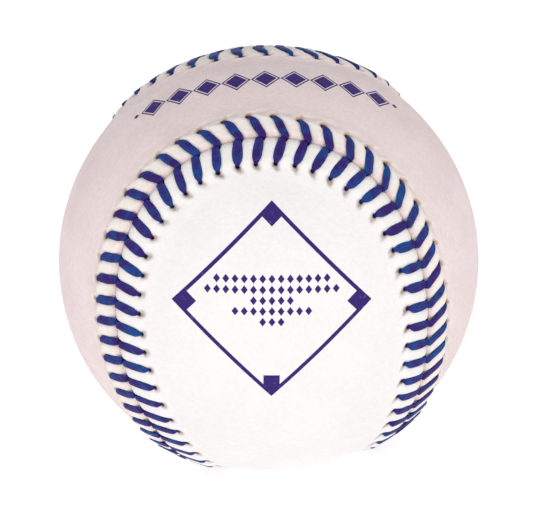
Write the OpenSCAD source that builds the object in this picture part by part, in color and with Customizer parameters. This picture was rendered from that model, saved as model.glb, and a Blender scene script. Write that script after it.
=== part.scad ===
// A leather baseball, built from the centre outwards: cork core, black rubber half shells with a
// red washer between them, red rubber layer, four windings, a coat of cement, two figure-eight
// cover panels and the one waxed thread that sews them together.
// The origin is the centre of the ball. The front panel has its lobes at -Y and +Y and its neck
// at -Z; the side panel has its lobes at +X and -X and its neck at +Z.

/* [Ball] */
// Circumference over the smooth leather, away from the seam
ball_circumference = 228.6; // [190:0.1:290]
// Thickness of the leather cover
leather_t = 1.3; // [1:0.05:1.7]
// Room between the flesh side of the leather and the cemented winding
seat_gap = 0.18; // [0.15:0.01:0.3]

/* [Pill] */
// Diameter of the cork composition core
core_d = 20.6; // [16:0.1:25]
// Thickness of the black rubber half shells
black_shell_t = 4; // [3:0.1:5]
// Thickness of the red rubber washer that parts the two half shells
washer_t = 1.2; // [0.8:0.1:2]
// Thickness of the red rubber layer moulded round the half shells
red_layer_t = 2.4; // [1.8:0.1:3]

/* [Windings] */
// Thickness of the white three-ply wool winding, the second
second_winding_t = 1.8; // [1.2:0.1:2.6]
// Thickness of the grey three-ply wool winding, the third
third_winding_t = 2.3; // [1.6:0.1:3]
// Thickness of the fine white finishing winding
finishing_winding_t = 0.5; // [0.3:0.05:0.8]
// Thickness of the rubber cement coat that the cover is laid on
cement_t = 0.15; // [0.1:0.01:0.3]

/* [Seam] */
// Width of a panel's neck, from seam to seam
neck_w = 30.2; // [26:0.1:36]
// How far the seam swings sideways as it rounds a lobe, in degrees
lobe_swing_angle = 22.1; // [19:0.1:25]
// Second swing, which makes the lobe's shoulders fuller, in degrees
shoulder_swing_angle = 1.7; // [0.5:0.1:3]
// How far the lobe's tip is flattened, in degrees
tip_flat_angle = 0.4; // [0:0.1:2]

/* [Stitching] */
// Number of double stitches round the ball
stitches = 108; // [90:2:120]
// Distance from the middle of the seam to each row of holes
hole_offset = 4.8; // [4:0.1:5.8]
// How far the point of each stitch runs ahead of its two holes, along the seam
stitch_lead = 1.4; // [0.8:0.1:1.8]
// Width of the flattened thread where it crosses the leather
thread_w = 1.5; // [1.2:0.05:1.8]
// Width of the thread where it is drawn together, in a hole and in the seam
drawn_thread_w = 0.8; // [0.6:0.05:1]
// Thickness of the flattened thread
thread_t = 0.45; // [0.35:0.01:0.55]
// Room between the thread and the leather or the winding
thread_gap = 0.1; // [0.05:0.01:0.15]
// Room between the thread and the cut edge of each panel, where it dives into the seam
slit_gap = 0.2; // [0.18:0.01:0.3]
// Length of each thread end that is tucked under the leather after the last stitch
tuck_l = 2.2; // [1.5:0.1:3]

/* [Welt] */
// Width over which the leather rises out of the seam
edge_roll_w = 0.9; // [0.6:0.1:1.3]
// Depth by which the cut edge is rolled down into the seam
edge_roll_h = 0.3; // [0.2:0.05:0.4]
// Height by which the leather swells between two stitches
pucker_h = 0.35; // [0.2:0.01:0.45]
// Distance from a row of holes to the foot of the raised welt
welt_run = 3.4; // [2.8:0.1:4.2]
// Distance from the foot of the welt to the open middle of the panel
open_run = 1.5; // [1:0.1:2]

/* [Hidden] */

round_steps = 96;
overrun = 1;

// Radii, from the cover inwards and from the core outwards
ball_r = ball_circumference / (2 * PI);
coated_r = ball_r - leather_t - seat_gap;
finished_r = coated_r - cement_t;
third_r = finished_r - finishing_winding_t;
second_r = third_r - third_winding_t;
first_r = second_r - second_winding_t;
core_r = core_d / 2;
black_shell_r = core_r + black_shell_t;
pill_r = black_shell_r + red_layer_t;

// The seam, as a curve on a ball of radius one. Its latitude and longitude are sums of sines and
// cosines of one angle, so that a quarter of the curve, turned by 90 degrees and mirrored in the
// horizontal plane, gives the next quarter.
neck_angle = neck_w / 2 / ball_r * 180 / PI;
lobe_reach_angle = 90 - neck_angle + tip_flat_angle;
seam_samples = 720;
sample_angle = 360 / seam_samples;

function seam_dir(t) =
    let (
        lat = lobe_reach_angle * cos(2 * t) - tip_flat_angle * cos(6 * t),
        lon = t - 90 + lobe_swing_angle * sin(4 * t) + shoulder_swing_angle * sin(8 * t)
    )
    [cos(lat) * cos(lon), cos(lat) * sin(lon), sin(lat)];

function unit(v) = v / norm(v);

// Running length of the seam on the unit ball, against the angle of the curve
seam_run = [
    for (
        i = 0, run = 0;
        i <= seam_samples;
        run = run + norm(seam_dir((i + 1) * sample_angle) - seam_dir(i * sample_angle)),
        i = i + 1
    ) [run, i * sample_angle]
];
seam_turn = seam_run[seam_samples][0];
pitch = seam_turn * ball_r / stitches;

// A station counts stitches along the seam from the tip of the front lobe
function seam_angle(station) =
    let (turns = station / stitches)
    lookup((turns - floor(turns)) * seam_turn, seam_run);

// Point at a station, moved sideways from the seam and raised above the smooth leather.
// A negative offset lies on the front panel and a positive one on the side panel.
function seam_point(station, offset, height) =
    let (
        t = seam_angle(station),
        q = seam_dir(t),
        along = seam_dir(t + sample_angle) - seam_dir(t - sample_angle),
        sideways = unit(cross(q, along)),
        w = offset / ball_r * 180 / PI
    )
    (ball_r + height) * (q * cos(w) + sideways * sin(w));

// Where the stitches sit along the seam, as a share of one stitch
stitch_phase_share = 0.528;

// Sizes that follow from the thread
slit_w = thread_t + 2 * slit_gap;
under_sag = pow(norm([hole_offset, pitch]), 2) / (8 * ball_r);
seam_lift = thread_t + under_sag + 2 * thread_gap;
hole_d = norm([drawn_thread_w, thread_t]) + 2 * thread_gap;
cross_shift = (drawn_thread_w + thread_gap) / 2;
groove_rise = pucker_h * thread_w / pitch;
over_h = seam_lift - pucker_h / 2 + groove_rise + thread_gap + thread_t / 2;
under_h = coated_r + under_sag + thread_gap / 2 + thread_t / 2 - ball_r;
lead_stations = stitch_lead / pitch;

// Distances from the middle of the seam to the rows of a panel's mesh
edge_d = slit_w / 2;
crown_d = edge_d + edge_roll_w;
body_d = (crown_d + hole_offset) / 2;
shoulder_d = hole_offset + hole_d;
foot_d = hole_offset + welt_run;
open_d = foot_d + open_run;

// Rows of the grain side: distance, height and the part of the swelling that shows there
shoulder_height_share = 0.75;
hole_swell_share = 0.7;
outer_rows = [
    [edge_d, seam_lift - edge_roll_h, 0],
    [crown_d, seam_lift, 1],
    [body_d, seam_lift, 1],
    [hole_offset, seam_lift, hole_swell_share],
    [shoulder_d, seam_lift * shoulder_height_share, 0],
    [foot_d, 0, 0]
];
// Rows of the flesh side: distance and height
inner_rows = [
    [edge_d, seam_lift],
    [shoulder_d, seam_lift],
    [foot_d, 0]
];

columns = 2 * stitches;
rungs = stitches / 2;
rung_steps = 8;

// The columns lean with the stitches up to the holes, and stand square again at the foot
function lean(d) =
    d <= hole_offset ? -lead_stations * d / hole_offset
    : d >= foot_d ? 0
    : -lead_stations * (foot_d - d) / (foot_d - hole_offset);

function outer_point(column, row) =
    let (
        swell = (column % 2 == 0 ? -1 : 1) * pucker_h / 2 * row[2],
        station = column / 2 + stitch_phase_share + lean(row[0])
    )
    seam_point(station, -row[0], row[1] + swell);

function inner_point(column, row) =
    seam_point(column + stitch_phase_share + lean(row[0]), -row[0], row[1] - leather_t);

// Point of the panel's open middle: on the great circle from a station of the seam to the station
// across the panel, a given part of the way
function open_point(rung, part, height) =
    let (
        a = unit(seam_point(rung, -open_d, 0)),
        b = unit(seam_point(stitches - rung, -open_d, 0)),
        apart = acos(min(1, a * b)),
        p = apart == 0 ? a : (a * sin(apart * (1 - part)) + b * sin(apart * part)) / sin(apart)
    )
    (ball_r + height) * p;

function flatten_once(lists) = [for (list = lists) for (item = list) item];

// Triangles of the strip between two closed rings of n points
function ring_strip(n, first, second) = [
    for (i = [0 : n - 1])
        let (j = (i + 1) % n)
        for (face = [
            [first + i, first + j, second + i],
            [first + j, second + j, second + i]
        ]) face
];

// Triangles between a ring of 2n points and a ring of n points
function halving_strip(n, fine, coarse) = [
    for (i = [0 : n - 1])
        let (j = (i + 1) % n, a = fine + 2 * i, b = a + 1, c = fine + (2 * i + 2) % (2 * n))
        for (face = [
            [a, b, coarse + i],
            [b, c, coarse + j],
            [b, coarse + j, coarse + i]
        ]) face
];

// Triangles of the ladder that closes the ring at the foot of a panel's open middle: its rungs
// join the ring's points across the panel, and start after the ring at the index "inside"
function ladder_index(ring, inside, rung, step) =
    step == 0 || rung == 0 || rung == rungs ? ring + rung
    : step == rung_steps ? ring + stitches - rung
    : inside + (rung - 1) * (rung_steps - 1) + step - 1;

function ladder(ring, inside) = [
    for (rung = [0 : rungs - 1])
        for (step = [0 : rung_steps - 1])
            let (
                a = ladder_index(ring, inside, rung, step),
                b = ladder_index(ring, inside, rung + 1, step),
                c = ladder_index(ring, inside, rung + 1, step + 1),
                d = ladder_index(ring, inside, rung, step + 1)
            )
            for (face = [[a, b, c], [a, c, d]])
                if (face[0] != face[1] && face[1] != face[2] && face[2] != face[0]) face
];

function turned_over(faces) = [for (face = faces) [face[2], face[1], face[0]]];

function rung_points(height) = [
    for (rung = [1 : rungs - 1])
        for (step = [1 : rung_steps - 1])
            open_point(rung, step / rung_steps, height)
];

function open_ring(height) = [for (i = [0 : stitches - 1]) seam_point(i, -open_d, height)];

// One figure-eight panel, with its raised welt and the channel for the thread beneath it
module panel_blank() {
    outer_count = len(outer_rows) * columns;
    outer_ring = outer_count;
    outer_inside = outer_ring + stitches;
    inner_first = outer_inside + (rungs - 1) * (rung_steps - 1);
    inner_ring = inner_first + len(inner_rows) * stitches;
    inner_inside = inner_ring + stitches;
    points = concat(
        [for (row = outer_rows) for (column = [0 : columns - 1]) outer_point(column, row)],
        open_ring(0),
        rung_points(0),
        [for (row = inner_rows) for (column = [0 : stitches - 1]) inner_point(column, row)],
        open_ring(-leather_t),
        rung_points(-leather_t)
    );
    grain_side = concat(
        flatten_once([
            for (r = [0 : len(outer_rows) - 2]) ring_strip(columns, r * columns, (r + 1) * columns)
        ]),
        halving_strip(stitches, outer_count - columns, outer_ring),
        ladder(outer_ring, outer_inside)
    );
    flesh_side = concat(
        flatten_once([
            for (r = [0 : len(inner_rows) - 1])
                ring_strip(stitches, inner_first + r * stitches, inner_first + (r + 1) * stitches)
        ]),
        ladder(inner_ring, inner_inside)
    );
    cut_edge = halving_strip(stitches, 0, inner_first);
    polyhedron(points, concat(grain_side, turned_over(concat(flesh_side, cut_edge))));
}

// A radial pin through the leather at each hole of a panel's edge
module stitch_holes() {
    for (k = [0 : stitches - 1]) {
        p = seam_point(k + stitch_phase_share - lead_stations, -hole_offset, 0);
        rotate([0, acos(p[2] / norm(p)), atan2(p[1], p[0])])
            translate([0, 0, coated_r])
                cylinder(h = leather_t + seam_lift + overrun, d = hole_d, $fn = round_steps);
    }
}

module panel() {
    difference() {
        panel_blank();
        stitch_holes();
    }
}

// The thread, as rings of points: centre, half width vector and half thickness vector. One end of
// it sews with each needle. A strand comes up through a hole on one side, crosses the leather to
// the seam, dives, passes under the other panel and comes up through that panel's next hole.
function strand_side(strand, k) = (k % 2 == 0 ? 1 : -1) * strand;

function hole_at(strand, k, height) =
    seam_point(
        k + stitch_phase_share - lead_stations, strand_side(strand, k) * hole_offset, height
    );

function dive_at(strand, k, height) =
    seam_point(k + stitch_phase_share + strand * cross_shift / pitch, 0, height);

function leg_middle(strand, k) =
    seam_point(
        k + stitch_phase_share - lead_stations / 2, strand_side(strand, k) * hole_offset / 2, over_h
    );

function flat_dir(v, out) = unit(v - out * (v * out));

function ring(centre, across, outward, width) =
    [centre, across * width / 2, outward * thread_t / 2];

function stitch_rings(strand, k) =
    let (
        turn = k % 2 == 0 ? 1 : -1,
        hole_low = hole_at(strand, k, under_h),
        hole_top = hole_at(strand, k, over_h),
        middle = leg_middle(strand, k),
        dive_top = dive_at(strand, k, over_h - thread_gap),
        dive_low = dive_at(strand, k, under_h),
        hole_out = unit(hole_top),
        middle_out = unit(middle),
        dive_out = unit(dive_top),
        from_dir = k == 0
            ? flat_dir(hole_low - hole_at(-strand, k, under_h), hole_out)
            : flat_dir(hole_low - dive_at(strand, k - 1, under_h), hole_out),
        leg_dir = flat_dir(dive_top - hole_top, middle_out),
        hole_leg = flat_dir(leg_dir, hole_out),
        dive_leg = flat_dir(leg_dir, dive_out),
        dive_across = turn * cross(dive_out, dive_leg),
        dive_outward = turn * (dive_out + dive_leg)
    )
    [
        ring(
            hole_low, -turn * cross(hole_out, from_dir), turn * (from_dir - hole_out), drawn_thread_w
        ),
        ring(
            hole_top, turn * cross(hole_out, hole_leg), turn * (hole_out - hole_leg), drawn_thread_w
        ),
        ring(middle, turn * cross(middle_out, leg_dir), turn * middle_out, thread_w),
        ring(dive_top, dive_across, dive_outward, drawn_thread_w),
        ring(dive_low, dive_across, dive_outward, drawn_thread_w)
    ];

function tuck_ring(strand) =
    let (
        last = stitches - 1,
        turn = last % 2 == 0 ? 1 : -1,
        start = dive_at(strand, last, under_h),
        out = unit(start),
        dir = flat_dir(hole_at(strand, last + 1, under_h) - start, out),
        centre = (ball_r + under_h) * unit(start + dir * tuck_l)
    )
    ring(centre, turn * cross(out, dir), turn * out, drawn_thread_w);

// The thread's section: shares of its half width and half thickness, the same when turned over
thread_profile_shares = [[-1, -1], [1, -1], [1, 1], [-1, 1]];

function turned_back(rings) = [
    for (i = [len(rings) - 1 : -1 : 0]) [rings[i][0], -rings[i][1], rings[i][2]]
];

function strand_rings(strand) =
    concat(
        flatten_once([for (k = [0 : stitches - 1]) stitch_rings(strand, k)]),
        [tuck_ring(strand)]
    );

// The first stitch starts from the middle of the thread, which lies under the seam
function middle_ring() =
    let (
        from = hole_at(-1, 0, under_h),
        to = hole_at(1, 0, under_h),
        out = unit(from + to),
        dir = flat_dir(to - from, out)
    )
    ring((ball_r + under_h) * out, -cross(out, dir), -out, drawn_thread_w);

module thread_tube() {
    rings = concat(turned_back(strand_rings(-1)), [middle_ring()], strand_rings(1));
    sides = len(thread_profile_shares);
    ring_count = len(rings);
    points = [
        for (r = rings)
            for (corner = thread_profile_shares)
                r[0] + r[1] * corner[0] + r[2] * corner[1]
    ];
    walls = flatten_once([
        for (i = [0 : ring_count - 2]) ring_strip(sides, i * sides, (i + 1) * sides)
    ]);
    first_end = [for (i = [1 : sides - 2]) [0, i + 1, i]];
    last = (ring_count - 1) * sides;
    last_end = [for (i = [1 : sides - 2]) [last, last + i, last + i + 1]];
    polyhedron(points, turned_over(concat(walls, first_end, last_end)));
}

// Sub-parts
module shell(outer_r, inner_r) {
    difference() {
        sphere(r = outer_r, $fn = round_steps);
        sphere(r = inner_r, $fn = round_steps);
    }
}

module cork_core() {
    color("peru") sphere(r = core_r, $fn = round_steps);
}

module black_rubber_shell() {
    intersection() {
        shell(black_shell_r, core_r);
        translate([0, 0, washer_t / 2])
            cylinder(h = black_shell_r, r = black_shell_r + overrun, $fn = round_steps);
    }
}

module black_rubber_shell_upper() {
    color("dimgray") black_rubber_shell();
}

module black_rubber_shell_lower() {
    color("dimgray") mirror([0, 0, 1]) black_rubber_shell();
}

module rubber_washer() {
    color("firebrick")
        intersection() {
            shell(black_shell_r, core_r);
            cylinder(
                h = washer_t, r = black_shell_r + overrun, center = true, $fn = round_steps
            );
        }
}

module red_rubber_layer() {
    color("firebrick") shell(pill_r, black_shell_r);
}

module first_winding() {
    color("slategray") shell(first_r, pill_r);
}

module second_winding() {
    color("ivory") shell(second_r, first_r);
}

module third_winding() {
    color("slategray") shell(third_r, second_r);
}

module finishing_winding() {
    color("white") shell(finished_r, third_r);
}

module cement_coat() {
    color("wheat") shell(coated_r, finished_r);
}

module cover_panel_front() {
    color("whitesmoke") panel();
}

module cover_panel_side() {
    color("whitesmoke") mirror([0, 0, 1]) rotate([0, 0, 90]) panel();
}

module stitching_thread() {
    color("mediumblue") thread_tube();
}

cork_core();
black_rubber_shell_lower();
black_rubber_shell_upper();
rubber_washer();
red_rubber_layer();
first_winding();
second_winding();
third_winding();
finishing_winding();
cement_coat();
cover_panel_front();
cover_panel_side();
stitching_thread();
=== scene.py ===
"""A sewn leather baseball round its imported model: two figure-eight cover panels and one waxed thread.

Lengths are in millimetres until a mesh is made; Blender objects are in metres.
"""

import logging
import math
from collections.abc import Callable, Iterable
from dataclasses import dataclass, field
from enum import Enum
from functools import partial

import bpy
import numpy as np
from mathutils import Matrix, Vector


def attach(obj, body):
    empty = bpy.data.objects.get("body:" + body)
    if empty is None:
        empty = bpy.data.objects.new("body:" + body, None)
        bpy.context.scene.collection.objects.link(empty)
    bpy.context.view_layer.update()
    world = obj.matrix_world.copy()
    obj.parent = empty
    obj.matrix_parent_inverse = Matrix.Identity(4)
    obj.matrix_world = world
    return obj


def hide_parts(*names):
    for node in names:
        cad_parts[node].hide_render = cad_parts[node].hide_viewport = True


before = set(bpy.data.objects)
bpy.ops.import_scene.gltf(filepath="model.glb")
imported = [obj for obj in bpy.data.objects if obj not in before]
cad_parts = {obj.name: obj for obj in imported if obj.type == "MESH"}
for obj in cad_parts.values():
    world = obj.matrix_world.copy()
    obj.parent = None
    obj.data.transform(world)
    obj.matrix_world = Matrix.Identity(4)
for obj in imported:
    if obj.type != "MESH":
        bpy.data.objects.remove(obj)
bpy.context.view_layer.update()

LOG = logging.getLogger("baseball")
MM = 0.001
SHARP_ANGLE = 60.0

Array = np.ndarray
Socket = bpy.types.NodeSocket
Adder = Callable[..., Socket]
Pair = tuple[float, float]
Row = tuple[float, ...]


class PanelSide(Enum):
    """The side of the seam that a panel lies on; the value is the sign of its distances."""

    FRONT = -1
    SIDE = 1

    @property
    def row(self) -> int:
        """Place of this side's number in a pair: the front panel's comes first."""
        return (self.value + 1) // 2


def unit(vectors: Array) -> Array:
    """The same directions, each divided by its length."""
    return vectors / np.linalg.norm(vectors, axis=-1, keepdims=True)


def smooth_rise(value: Array) -> Array:
    """Smooth step: 0 below 0, 1 above 1, and 3v^2 - 2v^3 between."""
    v = np.clip(value, 0.0, 1.0)
    return v * v * (3.0 - 2.0 * v)


def rise_from(value: Array, start: float, length: float) -> Array:
    """Smooth step that begins at the start and takes the length."""
    return smooth_rise((value - start) / length)


def fall_to(value: Array, end: float, length: float) -> Array:
    """Smooth step down to nothing at the end, over the length before it."""
    return smooth_rise((end - value) / length)


def quarter_drop(share: Array) -> Array:
    """Fall of a quarter circle: one minus the root of one minus the square of the share."""
    s = np.clip(share, 0.0, 1.0)
    return 1.0 - np.sqrt(1.0 - s * s)


def bell(value: Array, middle: float, width: float, power: float = 2.0) -> Array:
    """One at the middle, and e to the minus power of how many widths away elsewhere."""
    return np.exp(-(np.abs((value - middle) / width) ** power))


def ripple(places: Array, size: float, seed: int, waves: int = 14) -> Array:
    """Smooth unevenness: a sum of sine waves in seeded directions.

    Args:
        places: Points, in millimetres.
        size: Typical length of a wave, in millimetres.
        seed: Seed of the directions and phases.
        waves: Number of waves.

    Returns:
        Values that run from about -1 to 1.
    """
    rng = np.random.default_rng(seed)
    directions = unit(rng.normal(size=(waves, 3)))
    lengths = size * rng.uniform(0.7, 1.5, waves)
    phases = rng.uniform(0.0, 2.0 * np.pi, waves)
    turns = places @ (directions * (2.0 * np.pi / lengths)[:, None]).T + phases
    return np.sin(turns).sum(axis=-1) / math.sqrt(waves)


def uneven_by(places: Array, wave: tuple[float, float, int]) -> Array:
    """Ripple of a height, a size and a seed, at the places."""
    height, size, seed = wave
    return height * ripple(places, size, seed)


def ring_strip(first: Array, second: Array) -> Array:
    """Triangles between closed rings of as many points.

    Args:
        first: Indices of a ring, or of one ring in each row.
        second: The same for the rings that they join.

    Returns:
        Rows of three indices.
    """
    a, b = first, np.roll(first, -1, axis=-1)
    c, d = np.roll(second, -1, axis=-1), second
    return np.concatenate([np.stack(t, axis=-1).reshape(-1, 3) for t in ((a, b, c), (a, c, d))])


def zip_rings(first: Array, first_at: Array, second: Array, second_at: Array) -> Array:
    """Triangles between two closed rings of different counts, each point joined to what is next to it.

    Args:
        first: Indices of the first ring.
        first_at: Where each of its points is along the ring, in turns, rising.
        second: Indices of the second ring.
        second_at: The same for the second ring.

    Returns:
        Rows of three indices.
    """
    first_mid, second_mid = ((at + np.append(at[1:], at[0] + 1.0)) / 2.0 for at in (first_at, second_at))
    turns = np.array([[-1.0], [0.0], [1.0]])
    near_second = np.searchsorted((second_mid + turns).ravel(), first_mid, side="left")
    near_first = np.searchsorted((first_mid + turns).ravel(), second_mid, side="right")
    return np.concatenate([
        np.stack([first, np.roll(first, -1), second[near_second % len(second)]], axis=-1),
        np.stack([np.roll(second, -1), second, first[near_first % len(first)]], axis=-1),
    ])


def make_object(name: str, points: Array, faces: Array, attributes: dict[str, Array]) -> bpy.types.Object:
    """Turns closed triangles into a smooth-shaded object at the origin.

    The volume is a sixth of the sum of the triple products of the faces' corners. Where it is
    less than nothing, the faces point inwards and are turned round.

    Args:
        name: Name of the piece.
        points: Corners, in millimetres.
        faces: Rows of three indices.
        attributes: One number for each corner, by name.

    Returns:
        The new object, linked to the scene.
    """
    a, b, c = (points[faces[:, i]] for i in range(3))
    if np.einsum("ij,ij->i", a, np.cross(b, c)).sum() < 0.0:
        faces = faces[:, ::-1]
    mesh = bpy.data.meshes.new(name)
    mesh.vertices.add(len(points))
    mesh.vertices.foreach_set("co", (points * MM).astype(np.float32).ravel())
    mesh.loops.add(faces.size)
    mesh.loops.foreach_set("vertex_index", faces.astype(np.int32).ravel())
    mesh.polygons.add(len(faces))
    mesh.polygons.foreach_set("loop_start", np.arange(0, faces.size, 3, dtype=np.int32))
    mesh.polygons.foreach_set("use_smooth", np.ones(len(faces), dtype=bool))
    mesh.update(calc_edges=True)
    mesh.validate()
    mesh.set_sharp_from_angle(angle=math.radians(SHARP_ANGLE))
    for label, values in attributes.items():
        layer = mesh.attributes.new(label, "FLOAT", "POINT")
        layer.data.foreach_set("value", values.astype(np.float32).ravel())
    piece = bpy.data.objects.new(name, mesh)
    bpy.context.scene.collection.objects.link(piece)
    return piece


@dataclass
class Seam:
    """The closed line that both panels meet on, as a curve on the smooth ball.

    Its latitude is a sum of cosines and its longitude a sum of sines of one angle, so that each
    quarter is the one before it, turned by 90 degrees and mirrored in the horizontal plane. A
    station counts stitches along it from the tip of the front lobe. The sizes are the source's.
    """

    circumference: float = 228.6
    neck_w: float = 30.2
    lobe_swing_angle: float = 22.1
    shoulder_swing_angle: float = 1.7
    tip_flat_angle: float = 0.4
    stitches: int = 108
    phase: float = 0.528
    samples: int = 5760
    step_angle: float = 0.25
    ball_r: float = field(init=False)
    pitch: float = field(init=False)
    turns: Array = field(init=False, repr=False)
    runs: Array = field(init=False, repr=False)

    def __post_init__(self) -> None:
        """Works out the ball's radius, the table of running length and the stitch pitch."""
        self.ball_r = self.circumference / (2.0 * math.pi)
        self.turns = np.linspace(0.0, 2.0 * math.pi, self.samples + 1)
        steps = np.linalg.norm(np.diff(self.direction(self.turns), axis=0), axis=1)
        self.runs = np.concatenate([[0.0], np.cumsum(steps)])
        self.pitch = self.runs[-1] * self.ball_r / self.stitches

    def direction(self, t: Array) -> Array:
        """Direction from the ball's centre to the seam.

        Args:
            t: Angle of the curve, in radians.

        Returns:
            Unit vectors.
        """
        reach = 90.0 - math.degrees(self.neck_w / 2.0 / self.ball_r) + self.tip_flat_angle
        lat = np.radians(reach * np.cos(2.0 * t) - self.tip_flat_angle * np.cos(6.0 * t))
        swing = self.lobe_swing_angle * np.sin(4.0 * t) + self.shoulder_swing_angle * np.sin(8.0 * t)
        lon = t - math.pi / 2.0 + np.radians(swing)
        return np.stack([np.cos(lat) * np.cos(lon), np.cos(lat) * np.sin(lon), np.sin(lat)], axis=-1)

    def axes(self, station: Array) -> tuple[Array, Array, Array]:
        """The seam's own axes.

        Args:
            station: Stations along the seam.

        Returns:
            Outward, along the seam, and sideways towards the side panel, all of length one.
        """
        part = np.mod(station / self.stitches, 1.0)
        t = np.interp(part * self.runs[-1], self.runs, self.turns)
        out = self.direction(t)
        step = math.radians(self.step_angle)
        along = self.direction(t + step) - self.direction(t - step)
        along = unit(along - out * np.sum(along * out, axis=-1, keepdims=True))
        return out, along, np.cross(out, along)

    def point(self, station: Array, offset: Array, height: Array) -> Array:
        """Point beside the seam: the seam's direction turned sideways by offset over radius.

        Args:
            station: Stations along the seam.
            offset: Distance from the seam over the ball, minus on the front panel.
            height: Height above the smooth leather.

        Returns:
            Points, in millimetres.
        """
        out, _, sideways = self.axes(station)
        turn = (offset / self.ball_r)[..., None]
        return (self.ball_r + height)[..., None] * (out * np.cos(turn) + sideways * np.sin(turn))


@dataclass(frozen=True)
class HandSewing:
    """How this ball's sewing departs from an even plan, in millimetres, at some of its stations.

    Drift moves a stitch along the seam and wander moves the seam sideways; the leads and reaches
    add to the lean and to the length of the legs. Between stations the numbers change smoothly.
    They were chosen by hand: by how far each stitch that shows lies from the even plan, near the
    ends of that stretch after an earlier fit, and on the far seam by eye.
    """

    stations: tuple[int, ...] = (
        -22, -16, -10, -4, 4, 10, 16, 22, 30, 44, 50, 54, 60, 67, 76
    )
    drift: Row = (
        2.2, 1.0, 0.1, -0.2, -0.2, -0.4, -1.8, -2.0, -1.5, -0.9, -0.9, -0.9, -0.9, -0.9, -0.3
    )
    wander: Row = (
        -0.4, -0.2, 0.3, 0.6, 0.4, -0.3, -1.4, -0.6, -0.5, -1.2, 1.5, -0.2, -2.1, -3.7, -2.2
    )
    front_lead: Row = (
        -0.6, -0.5, -0.4, 0.0, -0.1, -0.5, -0.4, 0.0, 0.0, 0.0, 0.0, 0.0, 0.0, 0.0, 0.0
    )
    side_lead: Row = (
        0.0, -0.7, -0.4, 0.3, 0.4, 0.5, 0.0, -1.0, 0.0, 0.0, -0.1, -0.3, -1.2, -2.0, -1.0
    )
    front_reach: Row = (
        0.2, 1.1, 0.3, 0.1, 0.3, -0.3, 0.0, -0.2, 0.0, 0.0, 0.0, 0.0, 0.0, 0.0, 0.0
    )
    side_reach: Row = (
        -0.1, -0.1, -0.3, -0.6, -0.9, -0.8, 0.3, -0.6, 0.0, 0.0, 0.2, 0.3, 0.4, 0.2, 0.0
    )
    smoothed_over: float = 1.5
    per_stitch: int = 10

    def at(self, label: str, column: Array, stitches: int) -> Array:
        """One kind of number, joined in straight lines between stations and then smoothed.

        Args:
            label: Name of the row of numbers.
            column: Columns where it is wanted.
            stitches: Stitches in one turn of the seam.

        Returns:
            A running weighted mean, whose weights fall as a bell over a stitch and a half.
        """
        fine = np.arange(stitches * self.per_stitch) / self.per_stitch
        row = np.interp(fine, np.mod(self.stations, stitches), getattr(self, label), period=stitches)
        away = np.minimum(fine, stitches - fine)
        weights = np.exp(-0.5 * (away / self.smoothed_over) ** 2)
        smooth = np.real(np.fft.ifft(np.fft.fft(row) * np.fft.fft(weights / weights.sum())))
        return np.interp(np.mod(column, stitches), fine, smooth, period=stitches)


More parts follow.
